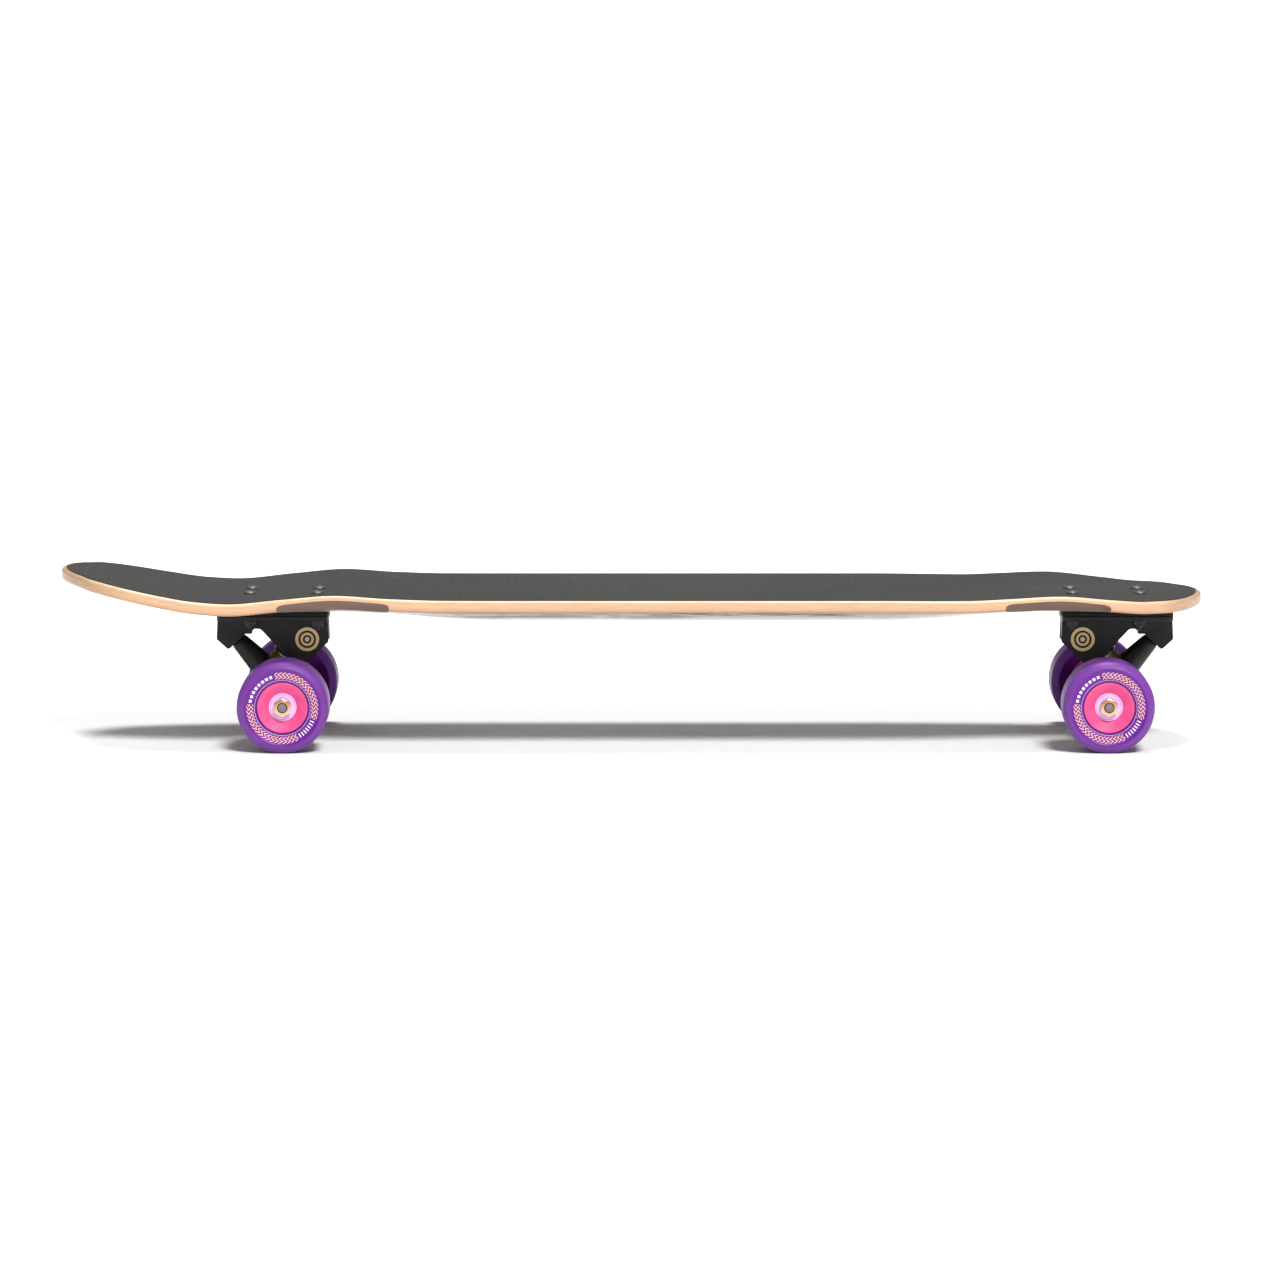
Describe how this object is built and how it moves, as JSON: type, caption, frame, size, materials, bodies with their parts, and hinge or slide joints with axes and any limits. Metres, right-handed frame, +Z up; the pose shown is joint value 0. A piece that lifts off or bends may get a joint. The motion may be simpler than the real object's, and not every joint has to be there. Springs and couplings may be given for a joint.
{
  "type": "skateboard",
  "caption": "Kick-tail downhill skateboard: concave wooden deck with grip top, leaning reverse-kingpin trucks on riser pads, and soft urethane wheels that roll on ball bearings.",
  "frame": {"origin": "on the ground, under the middle of the board's length and width", "axes": "+X towards the nose, +Y towards the far rail, +Z up, wheels standing on Z = 0"},
  "size_m": [0.915, 0.234, 0.1395],
  "materials": {
    "maple": "clear-coated maple ply, pale",
    "griptape": "charcoal abrasive sheet",
    "satin_black": "cast aluminium, satin black powder coat",
    "riser_rubber": "matte black",
    "urethane": "satin purple urethane",
    "pink_core": "bright pink, slight gloss",
    "bearing_steel": "steel with pale shields",
    "gold_plate": "gold-coloured plating on steel",
    "axle_steel": "plain turned steel",
    "bolt_black": "black oxide on steel",
    "bushing_amber": "amber urethane",
    "washer_steel": "pressed steel",
    "cup_plastic": "black nylon"
  },
  "bodies": {
    "board": {"deck": "maple", "griptape": "griptape", "tail_riser_pad": "riser_rubber", "tail_baseplate": "satin_black", "tail_pivot_cup": "cup_plastic", "tail_kingpin": "bolt_black", "tail_upper_washer": "washer_steel", "tail_upper_bushing": "bushing_amber", "tail_lower_bushing": "bushing_amber", "tail_lower_washer": "washer_steel", "tail_kingpin_nut": "bolt_black", "tail_bolt_1": "bolt_black", "tail_bolt_nut_1": "bolt_black", "tail_bolt_2": "bolt_black", "tail_bolt_nut_2": "bolt_black", "tail_bolt_3": "bolt_black", "tail_bolt_nut_3": "bolt_black", "tail_bolt_4": "bolt_black", "tail_bolt_nut_4": "bolt_black", "nose_riser_pad": "riser_rubber", "nose_baseplate": "satin_black", "nose_pivot_cup": "cup_plastic", "nose_kingpin": "bolt_black", "nose_upper_washer": "washer_steel", "nose_upper_bushing": "bushing_amber", "nose_lower_bushing": "bushing_amber", "nose_lower_washer": "washer_steel", "nose_kingpin_nut": "bolt_black", "nose_bolt_1": "bolt_black", "nose_bolt_nut_1": "bolt_black", "nose_bolt_2": "bolt_black", "nose_bolt_nut_2": "bolt_black", "nose_bolt_3": "bolt_black", "nose_bolt_nut_3": "bolt_black", "nose_bolt_4": "bolt_black", "nose_bolt_nut_4": "bolt_black"},
    "tail_right_wheel": {"tail_right_tyre": "urethane", "tail_right_core": "pink_core", "tail_right_outer_bearing": "bearing_steel", "tail_right_inner_bearing": "bearing_steel"},
    "tail_left_wheel": {"tail_left_tyre": "urethane", "tail_left_core": "pink_core", "tail_left_outer_bearing": "bearing_steel", "tail_left_inner_bearing": "bearing_steel"},
    "tail_truck": {"tail_hanger": "satin_black", "tail_axle": "axle_steel", "tail_right_axle_nut": "gold_plate", "tail_left_axle_nut": "gold_plate"},
    "nose_right_wheel": {"nose_right_tyre": "urethane", "nose_right_core": "pink_core", "nose_right_outer_bearing": "bearing_steel", "nose_right_inner_bearing": "bearing_steel"},
    "nose_left_wheel": {"nose_left_tyre": "urethane", "nose_left_core": "pink_core", "nose_left_outer_bearing": "bearing_steel", "nose_left_inner_bearing": "bearing_steel"},
    "nose_truck": {"nose_hanger": "satin_black", "nose_axle": "axle_steel", "nose_right_axle_nut": "gold_plate", "nose_left_axle_nut": "gold_plate"}
  },
  "joints": [
    {"name": "tail_steer", "type": "hinge", "parent": "board", "child": "tail_truck", "pos_m": [-0.31677, 0, 0.07988], "axis": [0.6858, 0, -0.7278], "range_deg": [-20, 20], "stiffness_Nm_per_rad": 90, "deforming": ["tail_upper_bushing", "tail_lower_bushing"]},
    {"name": "tail_right_roll", "type": "hinge", "parent": "tail_truck", "child": "tail_right_wheel", "pos_m": [-0.2759, -0.093, 0.0365], "axis": [0, 1, 0], "continuous": true},
    {"name": "tail_left_roll", "type": "hinge", "parent": "tail_truck", "child": "tail_left_wheel", "pos_m": [-0.2759, 0.093, 0.0365], "axis": [0, 1, 0], "continuous": true},
    {"name": "nose_steer", "type": "hinge", "parent": "board", "child": "nose_truck", "pos_m": [0.41877, 0, 0.07988], "axis": [0.6858, 0, 0.7278], "range_deg": [-20, 20], "stiffness_Nm_per_rad": 90, "deforming": ["nose_upper_bushing", "nose_lower_bushing"]},
    {"name": "nose_right_roll", "type": "hinge", "parent": "nose_truck", "child": "nose_right_wheel", "pos_m": [0.3779, -0.093, 0.0365], "axis": [0, 1, 0], "continuous": true},
    {"name": "nose_left_roll", "type": "hinge", "parent": "nose_truck", "child": "nose_left_wheel", "pos_m": [0.3779, 0.093, 0.0365], "axis": [0, 1, 0], "continuous": true}
  ]
}
